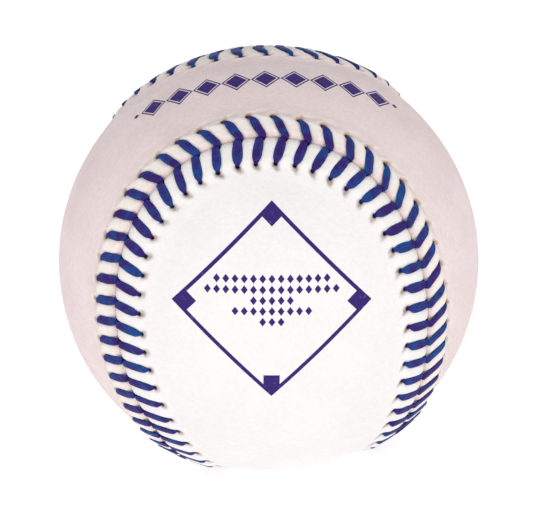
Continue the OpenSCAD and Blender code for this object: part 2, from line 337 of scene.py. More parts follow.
@dataclass
class StitchPlan:
    """Where every leg, hole and pillow lies beside the seam, for both panels and the thread.

    A place has a column (a whole number at a leg, a half between two legs) and a distance from
    the seam. The legs lean with the stitches, bow a little and vary as hand sewing does. Of a
    pair of numbers, the first is the front panel's.
    """

    seam: Seam
    sewing: HandSewing = field(default_factory=HandSewing)
    hole_offset: float = 4.8
    stitch_lead: float = 1.4
    foot: float = 8.4
    hole_r: float = 0.42
    hole_block: float = 0.45
    cross_shift: float = 0.16
    cross_run: float = 1.7
    flare: Pair = (0.1, 0.48)
    flare_ends: float = 4.7
    flare_run: float = 0.95
    uneven_reach: float = 1.4
    lift: float = 0.5
    foot_run: float = 3.9
    pillow_h: float = 0.48
    pillow_wall: float = 0.62
    groove_half_w: float = 0.9
    edge_roll_w: Pair = (1.9, 1.3)
    edge_roll_h: Pair = (0.72, 0.6)
    slit_half: float = 0.02
    slit_dive_half: Pair = (0.72, 0.26)
    slit_dive_l: float = 0.74
    slit_dive_steepness: float = 6.0
    groove_steepness: float = 5.0
    pillow_start: Pair = (-0.7, 1.7)
    pillow_end: Pair = (6.0, 2.0)
    pit_h: float = 0.26
    pit_r: float = 0.8
    pit_slope: Pair = (0.3, 2.0)
    rim_start: Pair = (-0.3, 0.9)
    rim_h: Pair = (0.03, 0.09)
    rim_at: Pair = (1.1, 0.45)
    rim_folds: float = 5.0
    rim_fold_depth: float = 0.25
    wrinkle_h: Pair = (0.0, 0.012)
    wrinkle_at: Pair = (1.8, 0.7)
    wrinkles: float = 6.0
    wrinkle_turn: float = 1.3
    crease_h: Pair = (0.03, 0.1)
    crease_at: Pair = (5.9, 0.55)
    along_spread: Pair = (0.12, 0.28)
    across_spread: Pair = (0.09, 0.2)
    plump: Pair = (0.8, 1.15)
    # Strength of each stitch's stains, of the painted shade by the seam and of the painted highlight by the
    # side holes.
    stain_and_shade_spread: Pair = (0.65, 1.15)
    seed: int = 11
    along_jitter: Array = field(init=False, repr=False)
    across_jitter: Array = field(init=False, repr=False)
    plumpness: Array = field(init=False, repr=False)
    stain_and_shade: Array = field(init=False, repr=False)

    def __post_init__(self) -> None:
        """Draws the small differences between stitches, one row for each side of the seam."""
        rng = np.random.default_rng(self.seed)
        shape = (2, self.seam.stitches)
        self.along_jitter, self.across_jitter = (
            rng.normal(0.0, spread, shape).clip(-most, most)
            for spread, most in (self.along_spread, self.across_spread)
        )
        self.plumpness = rng.uniform(*self.plump, shape)
        self.stain_and_shade = rng.uniform(*self.stain_and_shade_spread, shape).clip(0.0, 1.0)

    def sewn(self, label: str, column: Array) -> Array:
        """A number of the hand sewing at each column."""
        return self.sewing.at(label, column, self.seam.stitches)

    def per_stitch(self, values: Array, column: Array, side: PanelSide) -> Array:
        """A number of each stitch, carried over in a straight line between two stitches."""
        return np.interp(column, np.arange(self.seam.stitches), values[side.row], period=self.seam.stitches)

    def from_leg(self, column: Array) -> Array:
        """Distance along the seam from the nearest leg."""
        return (column - np.round(column)) * self.seam.pitch

    def place(self, column: Array, distance: Array, side: PanelSide) -> tuple[Array, Array]:
        """Station and signed offset of a place.

        The station is the column plus the phase, less the lead in proportion to the distance as
        far as the holes, and back to nothing at the foot of the welt. To it come the shift by
        which the two legs of a stitch pass each other in the seam, the flare by which a leg on
        the side panel leaves its hole on the forward side, and the variation of hand sewing,
        which fades out between the holes and the panel's open middle.

        Args:
            column: Columns.
            distance: Distances from the seam.
            side: Side of the seam.

        Returns:
            Stations, and offsets that are minus on the front panel.
        """
        label = side.name.lower()
        to_hole = np.clip(distance / self.hole_offset, 0.0, 1.0)
        fade = smooth_rise((self.foot - distance) / (self.foot - self.hole_offset))
        lean = np.where(distance <= self.hole_offset, to_hole, fade)
        lead = self.stitch_lead + self.sewn(f"{label}_lead", column)
        passing = side.value * self.cross_shift * (1.0 - smooth_rise(distance / self.cross_run))
        flare = self.flare[side.row] * smooth_rise((self.flare_ends - distance) / self.flare_run) * to_hole
        shift = self.per_stitch(self.along_jitter, column, side) * lean - lead * lean
        shift = shift + self.sewn("drift", column) * fade + passing + flare
        jitter = self.per_stitch(self.across_jitter, column, side)
        moved = distance + jitter * bell(distance, self.hole_offset, self.uneven_reach)
        moved = moved + self.sewn(f"{label}_reach", column) * smooth_rise(to_hole) * fade
        offset = side.value * moved + self.sewn("wander", column) * fade
        return column + self.seam.phase + shift / self.seam.pitch, offset

    def slit_edge(self, column: Array, side: PanelSide) -> Array:
        """Distance of a panel's cut edge from the seam: wide where threads dive, else nearly shut.

        Args:
            column: Columns.
            side: Side of the seam.

        Returns:
            Distances.
        """
        x = self.from_leg(column) + side.value * self.cross_shift * 0.5
        widest = self.slit_dive_half[side.row]
        return self.slit_half + (widest - self.slit_half) * bell(
            x, 0.0, self.slit_dive_l, self.slit_dive_steepness
        )

    def leg_height(self, distance: Array) -> Array:
        """Height of the welt: level as far as the holes, then falling smoothly to its foot."""
        return self.lift * smooth_rise((self.foot - distance) / self.foot_run)

    def height(self, column: Array, distance: Array, side: PanelSide) -> Array:
        """Height of the grain side: welt, rolled edge, grooves, pillows, pits and puckers.

        The edge rolls down as a quarter circle. A groove under each leg has a flat bottom and
        steep sides; between grooves the leather swells as the square of a sine. Each hole has a
        round pit, and beyond it a low rim that breaks into a few soft folds.

        Args:
            column: Columns.
            distance: Distances from the seam.
            side: Side of the seam.

        Returns:
            Heights above the smooth leather.
        """
        row = side.row
        x, y = self.from_leg(column), distance - self.hole_offset
        swell = np.sin(np.pi * column) ** 2
        wall = 1.0 - bell(x, 0.0, self.groove_half_w, self.groove_steepness)
        run = rise_from(distance, *self.pillow_start) * fall_to(distance, *self.pillow_end)
        pillow = self.pillow_h * self.per_stitch(self.plumpness, np.floor(column), side) * run
        pillow = pillow * (self.pillow_wall * wall + (1.0 - self.pillow_wall) * swell)
        roll_w = self.edge_roll_w[row]
        roll = self.edge_roll_h[row] * quarter_drop((roll_w - distance) / roll_w)
        away, turn = np.hypot(x, y), np.arctan2(y, x) - np.pi / 2.0
        pit = self.pit_h * bell(away, 0.0, self.pit_r)
        pit = pit * (1.0 + self.pit_slope[0] * np.tanh(self.pit_slope[1] * y))
        outside = rise_from(y, *self.rim_start)
        folds = 1.0 - self.rim_fold_depth + self.rim_fold_depth * np.cos(self.rim_folds * turn)
        rim = self.rim_h[row] * outside * bell(away, *self.rim_at) * folds
        wrinkle = np.cos(self.wrinkles * turn + self.wrinkle_turn * np.floor(column + 0.5))
        wrinkle = self.wrinkle_h[row] * outside * bell(away, *self.wrinkle_at) * wrinkle
        crease = self.crease_h[row] * swell * bell(distance, *self.crease_at)
        return self.leg_height(distance) + pillow - roll - pit + rim + wrinkle - crease


@dataclass(frozen=True)
class FaceGrid:
    """How fine the mesh of a panel's face is beside the seam and over the open middle."""

    near_rows: Row
    far_rows: Row
    rest_steps: int
    open_columns: int
    open_steps: int


@dataclass(frozen=True)
class LeatherFace:
    """Grain or flesh side of a panel: its mesh, its cut edge and the rims of its holes."""

    points: Array
    faces: Array
    marks: Array
    edge: Array
    edge_at: Array
    rims: Array


@dataclass
class CoverPanel:
    """One figure-eight panel: a fine strip beside the seam, and rungs over its open middle."""

    plan: StitchPlan
    side: PanelSide
    name: str
    node: str
    thickness: float = 1.3
    open_distance: float = 9.6
    edge_run: float = 1.3
    block_steps: int = 6
    grain: FaceGrid = FaceGrid(
        (0.0, 0.05, 0.13, 0.25, 0.42, 0.62, 0.85, 1.1, 1.4, 1.75, 2.1, 2.45, 2.8, 3.15, 3.45,
         3.72, 3.95, 4.14),
        (5.46, 5.65, 5.88, 6.15, 6.5, 6.9, 7.35, 7.85, 8.4),
        rest_steps=12, open_columns=432, open_steps=36,
    )
    flesh: FaceGrid = FaceGrid((0.0, 2.3), (6.9, 8.4), rest_steps=3, open_columns=108, open_steps=8)
    stain_at: Pair = (0.62, 0.42)
    stain_r: Pair = (0.8, 0.68)
    dark_r: Pair = (0.5, 0.42)
    dark_at: float = 0.1
    mark_steepness: float = 4.0
    # A darker tint along the seam line: its strength, width and steepness.
    seam_line_tint: tuple[float, float, float] = (0.22, 0.16, 1.5)
    # Width of the painted shade along the rolled edge by the seam.
    painted_seam_shade_w: float = 1.4
    painted_fold_shade_at: Pair = (5.0, 0.9)
    welt_start: Pair = (-0.2, 1.6)
    welt_end: Pair = (6.4, 2.4)
    # Where the painted highlight beside the side panel's holes lies, and its width.
    painted_hole_highlight_at: Pair = (1.15, 0.85)
    least_stretch: float = 0.5
    swell: tuple[float, float, int] = (0.03, 9.0, 3)
    dimples: tuple[float, float, int] = (0.012, 1.7, 5)
    crumple: tuple[float, float, int] = (0.02, 3.2, 7)
    crumple_end: Pair = (6.0, 2.0)
    # Strengths of painted shade along the rolled edge by the seam and at the pillows' ends.
    painted_seam_shade: Pair = (0.24, 0.18)
    painted_fold_shade: Pair = (0.0, 0.12)
    # Strength of the painted highlight beside the side panel's holes.
    painted_hole_highlight: Pair = (0.0, 0.85)

    def round_holes(self, column: Array, distance: Array) -> tuple[Array, Array]:
        """Draws the grid together round each hole, so that the block's square rim is a circle.

        A point at the greater of its two distances c and the true distance e from the hole's
        middle is moved to c / e times its place; that fades out at three times the block's half.

        Args:
            column: Columns of the grid.
            distance: Distances of the grid.

        Returns:
            The moved columns and distances.
        """
        plan = self.plan
        x, y = plan.from_leg(column), distance - plan.hole_offset
        square = np.maximum(np.abs(x), np.abs(y))
        away = np.maximum(np.hypot(x, y), 1e-9)
        part = 1.0 - smooth_rise((square / plan.hole_block - 1.0) / 2.0)
        scale = 1.0 + part * (square / away * plan.hole_r / plan.hole_block - 1.0)
        return np.round(column) + x * scale / plan.seam.pitch, plan.hole_offset + y * scale

    def strip_faces(self, grid: Array, first_row: int, starts: Array) -> Array:
        """Triangles of a strip of closed rows, without those in the holes.

        Args:
            grid: Indices, one row for each distance.
            first_row: First row of the holes' blocks.
            starts: First column of each block.

        Returns:
            Rows of three indices.
        """
        keep = np.ones((len(grid) - 1, grid.shape[1]), dtype=bool)
        over = (starts[:, None] + np.arange(self.block_steps)).ravel()
        keep[first_row:first_row + self.block_steps, over] = False
        next_column = np.roll(grid, -1, axis=1)
        a, b, c, d = grid[:-1][keep], next_column[:-1][keep], next_column[1:][keep], grid[1:][keep]
        return np.concatenate([np.stack([a, b, c], axis=-1), np.stack([a, c, d], axis=-1)])

    def block_rims(self, grid: Array, first_row: int, starts: Array) -> Array:
        """The closed line of points round each hole's block.

        Args:
            grid: Indices, one row for each distance.
            first_row: First row of the blocks.
            starts: First column of each block.

        Returns:
            Indices, one row for each hole.
        """
        n, steps = self.block_steps, np.arange(self.block_steps)
        down = np.concatenate([0 * steps, steps, 0 * steps + n, n - steps])
        across = np.concatenate([steps, 0 * steps + n, n - steps, 0 * steps])
        return grid[first_row + down, (starts[:, None] + across) % grid.shape[1]]

    def ladder(self, ring: Array, points: Array, steps: int) -> tuple[Array, Array]:
        """Closes a ring with rungs: each is the great circle from a point to its mirror point.

        Args:
            ring: Indices of the ring, from the tip of one lobe; the new points' follow them.
            points: Its points.
            steps: Steps of each rung.

        Returns:
            The new points, and rows of three indices.
        """
        count = len(ring)
        rung = np.arange(count // 2 + 1)
        mirror = (count - rung) % count
        a, b = points[rung][1:-1, None], points[mirror][1:-1, None]
        ra, rb = (np.linalg.norm(p, axis=-1, keepdims=True) for p in (a, b))
        a, b = a / ra, b / rb
        apart = np.arccos(np.clip(np.sum(a * b, axis=-1, keepdims=True), -1.0, 1.0))
        part = (np.arange(1, steps) / steps)[None, :, None]
        inner = (a * np.sin(apart * (1.0 - part)) + b * np.sin(apart * part)) / np.sin(apart)
        inner = inner * (ra * (1.0 - part) + rb * part)
        index = np.repeat(ring[rung][:, None], steps + 1, axis=1)
        index[1:-1, 1:-1] = ring[-1] + 1 + np.arange(inner[..., 0].size).reshape(inner.shape[:2])
        index[1:-1, -1] = ring[mirror[1:-1]]
        corners = (index[:-1, :-1], index[1:, :-1], index[1:, 1:], index[:-1, 1:])
        p, q, r, s = (corner.ravel() for corner in corners)
        faces = np.concatenate([np.stack([p, q, r], axis=-1), np.stack([p, r, s], axis=-1)])
        return inner.reshape(-1, 3), faces[np.all(faces != np.roll(faces, 1, axis=1), axis=1)]

    def open_ring(self, count: int, height: float) -> tuple[Array, Array]:
        """Ring round the open middle of the panel.

        Args:
            count: Number of points.
            height: Height above the smooth leather.

        Returns:
            The points, and where they are in turns of the seam.
        """
        start = 0.0 if self.side is PanelSide.FRONT else -0.75
        turn = start + np.arange(count) / count
        offset = np.full(count, self.side.value * self.open_distance)
        return self.plan.seam.point(turn * self.plan.seam.stitches, offset, np.full(count, height)), turn

    def flesh_height(self, distance: Array) -> Array:
        """Height of the flesh side: raised under the welt, where the thread passes, then level."""
        run = self.plan.foot - self.plan.hole_offset - 1.0
        return self.plan.lift * smooth_rise((self.plan.foot - distance) / run) - self.thickness

    def make_face(self, fine: FaceGrid, free: int) -> LeatherFace:
        """Makes the grain side, or the flesh side, turned to face inwards.

        Args:
            fine: The grid of the grain side or of the flesh side.
            free: Index of its first point.

        Returns:
            The face.
        """
        plan, seam = self.plan, self.plan.seam
        is_grain = fine is self.grain
        half = plan.hole_block
        block = np.linspace(-half, half, self.block_steps + 1)
        rest = np.linspace(half, seam.pitch - half, fine.rest_steps + 1)[1:-1]
        one = np.concatenate([block, rest]) / seam.pitch
        starts = np.arange(seam.stitches) * len(one)
        columns = (np.arange(seam.stitches)[:, None] + one).ravel()
        first_row = len(fine.near_rows)
        column, row = np.meshgrid(
            columns, np.concatenate([fine.near_rows, block + plan.hole_offset, fine.far_rows])
        )
        warped, distance = self.round_holes(column, row)
        station, offset = plan.place(warped, distance, self.side)
        edge_part = 1.0 - smooth_rise(row / self.edge_run)
        offset = offset + self.side.value * plan.slit_edge(column, self.side) * edge_part
        height = plan.height(warped, distance, self.side) if is_grain else self.flesh_height(distance)
        strip = seam.point(station, offset, height)
        ring_points, ring_at = self.open_ring(fine.open_columns, 0.0 if is_grain else -self.thickness)
        if is_grain:
            uneven = uneven_by(strip, self.swell) + uneven_by(strip, self.dimples)
            uneven = uneven + uneven_by(strip, self.crumple) * fall_to(row, *self.crumple_end)
            strip = strip + unit(strip) * uneven[..., None]
            ring_points = ring_points + unit(ring_points) * uneven_by(ring_points, self.swell)[:, None]
        grid = free + np.arange(column.size).reshape(column.shape)
        ring = grid[-1, -1] + 1 + np.arange(fine.open_columns)
        inner, rungs = self.ladder(ring, ring_points, fine.open_steps)
        marks = np.zeros((column.size + len(ring) + len(inner), 3))
        if is_grain:
            inner = unit(inner) * seam.ball_r
            inner = inner + unit(inner) * uneven_by(inner, self.swell)[:, None]
            marks[:column.size] = self.marks(warped, distance).reshape(-1, 3)
        faces = np.concatenate([
            self.strip_faces(grid, first_row, starts),
            zip_rings(grid[-1], station[-1] / seam.stitches, ring, ring_at),
            rungs,
        ])
        return LeatherFace(
            np.concatenate([strip.reshape(-1, 3), ring_points, inner]),
            faces if is_grain else faces[:, ::-1],
            marks, grid[0], columns / seam.stitches, self.block_rims(grid, first_row, starts),
        )

    def build(self) -> bpy.types.Object:
        """Makes the closed mesh of the panel: both faces, the cut edge and the holes' walls.

        Returns:
            The new object.
        """
        grain = self.make_face(self.grain, 0)
        flesh = self.make_face(self.flesh, len(grain.points))
        points = np.concatenate([grain.points, flesh.points])
        middle = (points[grain.rims] + points[flesh.rims]) / 2.0
        rims = len(points) + np.arange(grain.rims.size).reshape(grain.rims.shape)
        faces = np.concatenate([
            grain.faces,
            flesh.faces,
            zip_rings(flesh.edge, flesh.edge_at, grain.edge, grain.edge_at),
            ring_strip(grain.rims, rims),
            ring_strip(rims, flesh.rims),
        ])
        # The holes' walls get the full tint of the stains and painted shade.
        in_holes = np.tile([1.0, 1.0, 0.0], (rims.size, 1))
        marks = np.concatenate([grain.marks, flesh.marks, in_holes])
        points = np.concatenate([points, middle.reshape(-1, 3)])
        return make_object(self.name, points, faces, dict(zip(("stain_and_shade", "shade", "stretch_and_highlight"), marks.T)))

    def marks(self, column: Array, distance: Array) -> Array:
        """What handling and sewing leave on the leather near the seam.

        Args:
            column: Columns of the grid.
            distance: Distances of the grid.

        Returns:
            Three numbers from 0 to 1: wax and grime at the holes, with a darker tint along the seam
            line and painted shade beside the seam and at the pillows' ends; painted shade in the pits;
            and how pale the leather is where it is taut over the welt, with painted highlights on the
            pillows' crests and beside the side panel's holes.
        """
        plan, row, steep = self.plan, self.side.row, self.mark_steepness
        x, y = plan.from_leg(column), distance - plan.hole_offset
        strength = plan.per_stitch(plan.stain_and_shade, np.round(column), self.side)
        between = np.sin(np.pi * column) ** 2
        stain_and_shade = strength * bell(np.hypot(x, y - self.stain_at[row]), 0.0, self.stain_r[row], steep)
        # A darker tint along the seam line itself.
        seam_line, seam_line_w, seam_line_power = self.seam_line_tint
        seam_line = seam_line * bell(distance, 0.0, seam_line_w, seam_line_power)
        # Painted shade where the edge rolls down into the seam, and on the side panel at the pillows' ends
        # near the holes.
        painted_seam_shade = self.painted_seam_shade[row] * strength * bell(distance, 0.0, self.painted_seam_shade_w)
        painted_seam_shade = painted_seam_shade + self.painted_fold_shade[row] * between * bell(distance, *self.painted_fold_shade_at)
        # Painted shade in each hole's pit.
        painted_shade = bell(np.hypot(x, y - self.dark_at), 0.0, self.dark_r[row], steep)
        # Leather drawn taut over the welt is paler; the extra paleness on the pillows' crests is painted
        # highlight.
        welt = fall_to(distance, *self.welt_end) * rise_from(distance, *self.welt_start)
        welt = welt * (self.least_stretch + (1.0 - self.least_stretch) * between)
        # Painted highlight: a paler spot just outside each of the side panel's holes.
        highlight_from, highlight_r = self.painted_hole_highlight_at
        painted_hole_highlight = self.painted_hole_highlight[row] * strength * bell(np.hypot(x, y - highlight_from), 0.0, highlight_r)
        # The holes' stains, the seam line's tint and the painted shade by the seam share one attribute.
        stain_and_shade = np.maximum(stain_and_shade, np.maximum(seam_line, painted_seam_shade))
        return np.stack([stain_and_shade, painted_shade, np.maximum(welt, painted_hole_highlight)], axis=-1)


@dataclass
class SewingThread:
    """One waxed thread with a needle at each end: two strands that change sides at each stitch.

    A strand comes up through a hole, crosses the leather to the seam, dives, passes under the
    other panel and comes up through that panel's next hole. Each leg is a flattened round section
    carried along its path, wide in the middle and drawn together in the hole and in the seam.
    """

    plan: StitchPlan
    name: str = "sewing_thread"
    node: str = "stitching_thread"
    sides: int = 12
    roundness: float = 2.5
    thickness: float = 0.46
    drawn_w: float = 0.68
    drawn_t: float = 0.5
    drawn_below_w: float = 0.9
    clearance: float = 0.04
    under_h: float = -1.08
    throat_h: float = -0.45
    hole_pull: float = 0.24
    hole_bend: tuple[Pair, Pair] = ((0.62, 0.72), (0.45, 0.66))
    hole_turns: Row = (0.0, 18.0, 38.0, 60.0, 80.0)
    dive_bend: tuple[Pair, Pair] = ((0.38, 0.45), (0.32, 0.42))
    dive_turns: Row = (72.0, 54.0, 36.0, 18.0, 0.0)
    dive_end: Pair = (0.48, -0.18)
    over_rise: Pair = (0.0, 0.05)
    run_rings: int = 9
    leg_turn: Pair = (1.001, 0.07)
    tuck_l: float = 2.2
    tuck_shares: Pair = (0.15, 0.8)
    under_shares: Pair = (0.3, 0.7)
    tip_l: float = 0.2
    fullness: Pair = (0.92, 1.07)
    widths: tuple[tuple[Pair, ...], tuple[Pair, ...]] = (
        ((0.0, 0.74), (0.03, 0.96), (0.07, 1.2), (0.13, 1.42), (0.24, 1.62), (0.42, 1.72),
         (0.62, 1.64), (0.82, 1.44), (1.0, 1.2)),
        ((0.0, 0.56), (0.03, 0.78), (0.08, 1.06), (0.14, 1.32), (0.2, 1.48), (0.32, 1.6),
         (0.7, 1.62), (0.92, 1.5), (1.0, 1.26)),
    )
    seed: int = 23

    def leg_profile(self, side: PanelSide) -> Array:
        """Path of a leg in its own plane, from the bottom of the hole to the bottom of the dive.

        A quarter ellipse leads out of the hole, a level run crosses the groove and another
        quarter ellipse leads down into the seam.

        Args:
            side: Side of the seam that the leg lies on.

        Returns:
            Rows of distances, of heights above the groove's bottom or, where the last row is 1,
            above the smooth leather, of widths, of places along the leg, and that last row.
        """
        start = self.plan.hole_offset - self.hole_pull
        end = self.dive_end[side.row]
        rise = self.thickness / 2.0 + self.clearance + self.over_rise[side.row]
        out_w, out_h = self.hole_bend[side.row]
        in_w, in_h = self.dive_bend[side.row]
        turn, fall = np.radians(self.hole_turns), np.radians(self.dive_turns)
        distance = np.concatenate([
            start - out_w + out_w * np.cos(turn),
            np.linspace(start - out_w, end + in_w, self.run_rings),
            end + in_w - in_w * np.cos(fall),
        ])
        height = np.concatenate([
            rise - out_h + out_h * np.sin(turn),
            np.full(self.run_rings, rise),
            rise - in_h + in_h * np.sin(fall),
        ])
        part = (start - distance) / (start - end)
        width = np.interp(part, *zip(*self.widths[side.row]))
        low = (self.under_h, self.throat_h)
        hole, dive = (
            [[at] * 2, heights, [self.drawn_w] * 2, [share] * 2, [1.0] * 2]
            for at, heights, share in ((start, low, 0.0), (end, low[::-1], 1.0))
        )
        return np.concatenate([hole, [distance, height, width, part, 0.0 * part], dive], axis=1)

    def leg_rings(self, side: PanelSide, stitch: Array, fullness: Array) -> Array:
        """Rings of the legs on one side of the seam.

        Args:
            side: The side.
            stitch: Numbers of the stitches.
            fullness: How wide each leg is beside the others.

        Returns:
            Stations, offsets, heights, widths, places along the leg, and 1 where it is hidden.
        """
        distance, lift, width, part, hidden = self.leg_profile(side)[:, None]
        station, offset = self.plan.place(stitch[:, None].astype(float), distance, side)
        height = lift + (1.0 - hidden) * self.plan.leg_height(distance)
        width = width * np.where(hidden > 0.5, 1.0, fullness[:, None])
        return np.stack(np.broadcast_arrays(station, offset, height, width, part, hidden))

    def under_rings(self, legs: Array) -> Array:
        """Rings of the runs below the other panel, from a dive to the next hole.

        Args:
            legs: Rings of all legs.

        Returns:
            The same rows for two rings of each run; after the last stitch they are the tucked end.
        """
        plan, n = self.plan, self.plan.seam.stitches
        first, last = legs[:2, :, 0], legs[:2, :, -1]
        after = np.roll(first, -1, axis=1)
        after[0, -1] += n
        length = math.hypot(plan.hole_offset, plan.seam.pitch)
        share = np.tile(self.under_shares, (n, 1))
        share[-1] = self.tuck_shares[0], self.tuck_l / length * self.tuck_shares[1]
        run = last[..., None] + (after - last)[..., None] * share
        rest = np.array([self.under_h, self.drawn_w, 1.0, 1.0])[:, None, None]
        return np.concatenate([run, np.broadcast_to(rest, (4, n, 2))])

    def strand_rings(self, strand: int) -> dict[str, Array]:
        """Rings of one strand, from its first hole to its last dive.

        The width lies along the seam, turned by the leg's lean or by the lean of the run below.

        Args:
            strand: 1 or -1, for the needle that starts on the side panel or the front panel.

        Returns:
            Centres, widths' directions, widths and marks, one row for each ring.
        """
        plan, n = self.plan, self.plan.seam.stitches
        rng = np.random.default_rng(self.seed + strand)
        tone = rng.uniform(0.0, 1.0, n)
        fullness = rng.uniform(*self.fullness, n)
        stitch = np.arange(n)
        legs = np.stack([
            self.leg_rings(PanelSide(sign), stitch[start::2], fullness[start::2])
            for start, sign in ((0, strand), (1, -strand))
        ], axis=2).reshape(6, n, -1)
        rings = np.concatenate([legs, self.under_rings(legs)], axis=2)
        station, offset, height, width, part, hidden = rings
        sign = strand * np.where(stitch % 2 == 0, 1.0, -1.0)[:, None]
        leg_turn = np.where(sign > 0.0, self.leg_turn[1], self.leg_turn[0])
        leg_angle = math.atan(plan.stitch_lead / plan.hole_offset) * leg_turn
        under_angle = math.atan((plan.seam.pitch - plan.stitch_lead) / plan.hole_offset)
        angle = np.where(np.arange(rings.shape[2]) < legs.shape[2], leg_angle, under_angle)
        _, along, sideways = plan.seam.axes(station)
        across = along * np.cos(angle)[..., None] + sideways * (sign * np.sin(angle))[..., None]
        return {
            "centre": plan.seam.point(station, offset, height).reshape(-1, 3),
            "across": across.reshape(-1, 3),
            "width": width.ravel(),
            "leg_part": part.ravel(),
            "hidden": hidden.ravel(),
            "tone": np.repeat(tone, rings.shape[2]),
        }

    def build(self) -> bpy.types.Object:
        """Makes the closed tube of the whole thread: a rounded section round each ring's centre.

        Returns:
            The new object.
        """
        one, other = self.strand_rings(1), self.strand_rings(-1)
        middle = unit(one["centre"][:1] + other["centre"][:1]) * (self.plan.seam.ball_r + self.under_h)
        between = {
            "centre": middle, "across": one["across"][:1], "width": [self.drawn_w],
            "leg_part": [0.0], "hidden": [1.0], "tone": [0.5],
        }
        rings = {label: np.concatenate([other[label][::-1], between[label], one[label]]) for label in one}
        centre, across, width = (rings.pop(label) for label in ("centre", "across", "width"))
        tangent = unit(np.gradient(centre, axis=0))
        facing = unit(np.cross(tangent, across))
        rings["run"] = np.append(0.0, np.cumsum(np.linalg.norm(np.diff(centre, axis=0), axis=1)))
        thick = np.where(width < self.drawn_below_w, self.drawn_t, self.thickness)
        angle = np.arange(self.sides) * 2.0 * np.pi / self.sides
        cos_part, sin_part = (
            np.sign(wave) * np.abs(wave) ** (2.0 / self.roundness)
            for wave in (np.cos(angle), np.sin(angle))
        )
        ring = (
            centre[:, None]
            + across[:, None] * (width[:, None] / 2.0 * cos_part)[..., None]
            + facing[:, None] * (thick[:, None] / 2.0 * sin_part)[..., None]
        )
        index = np.arange(ring[..., 0].size).reshape(ring.shape[:2])
        near, far = index[0], index[-1]
        start, end = np.full(self.sides, index.size), np.full(self.sides, index.size + 1)
        faces = np.concatenate([
            ring_strip(index[:-1], index[1:]),
            np.stack([start, np.roll(near, -1), near], axis=-1),
            np.stack([end, far, np.roll(far, -1)], axis=-1),
        ])
        ends = np.stack([centre[0] - tangent[0] * self.tip_l, centre[-1] + tangent[-1] * self.tip_l])
        attributes = {label: np.repeat(values, self.sides) for label, values in rings.items()}
        attributes["across"] = np.tile(np.cos(angle), len(centre))
        attributes = {label: np.append(values, values[[0, -1]]) for label, values in attributes.items()}
        return make_object(self.name, np.concatenate([ring.reshape(-1, 3), ends]), faces, attributes)


def linear(hex_colour: str) -> tuple[float, float, float, float]:
    """Turns an sRGB hex colour into Blender's linear one.

    Args:
        hex_colour: Six hex digits.

    Returns:
        Red, green, blue and an alpha of one.
    """
    parts = (int(hex_colour[i:i + 2], 16) / 255.0 for i in (0, 2, 4))
    return *(p / 12.92 if p <= 0.04045 else ((p + 0.055) / 1.055) ** 2.4 for p in parts), 1.0


def per_mm(size: float) -> float:
    """Texture scale whose cells are so many millimetres wide, on coordinates in metres."""
    return 1.0 / (size * MM)


def add_node(
    tree: bpy.types.NodeTree,
    kind: str,
    inputs: dict[int | str, object] | Iterable[object] = (),
    out: int | str = 0,
    **settings: object,
) -> Socket | None:
    """Adds a node, sets it up and links it.

    Args:
        tree: The node tree.
        kind: Blender's name for the kind of node, after ShaderNode.
        inputs: Values, or sockets to link, by the input's name or number, or in order.
        out: Name or number of the output that is wanted.
        **settings: Properties of the node.

    Returns:
        That output, or nothing where the node has none.
    """
    node = tree.nodes.new(f"ShaderNode{kind}")
    for label, value in settings.items():
        setattr(node, label, value)
    for key, value in inputs.items() if isinstance(inputs, dict) else enumerate(inputs):
        if isinstance(value, Socket):
            tree.links.new(value, node.inputs[key])
        else:
            node.inputs[key].default_value = value
    return node.outputs[out] if node.outputs else None


def start_nodes(owner: bpy.types.Material | bpy.types.World) -> Adder:
    """Turns nodes on for a material or a world and takes out those that are there.

    Args:
        owner: The material or the world.

    Returns:
        The function that adds a node to it.
    """
    owner.use_nodes = True
    owner.node_tree.nodes.clear()
    return partial(add_node, owner.node_tree)


def coats(add: Adder, base: str, layers: Iterable[tuple[Socket, str]]) -> Socket:
    """Lays colours over each other in order.

    Args:
        add: Adds a node to the material.
        base: Hex colour of the ground.
        layers: Share that each colour covers, and its hex colour.

    Returns:
        Socket of the colour on top.
    """
    colour = linear(base)
    for share, tint in layers:
        colour = add("Mix", {0: share, 6: colour, 7: linear(tint)}, out=2, data_type="RGBA")
    return colour


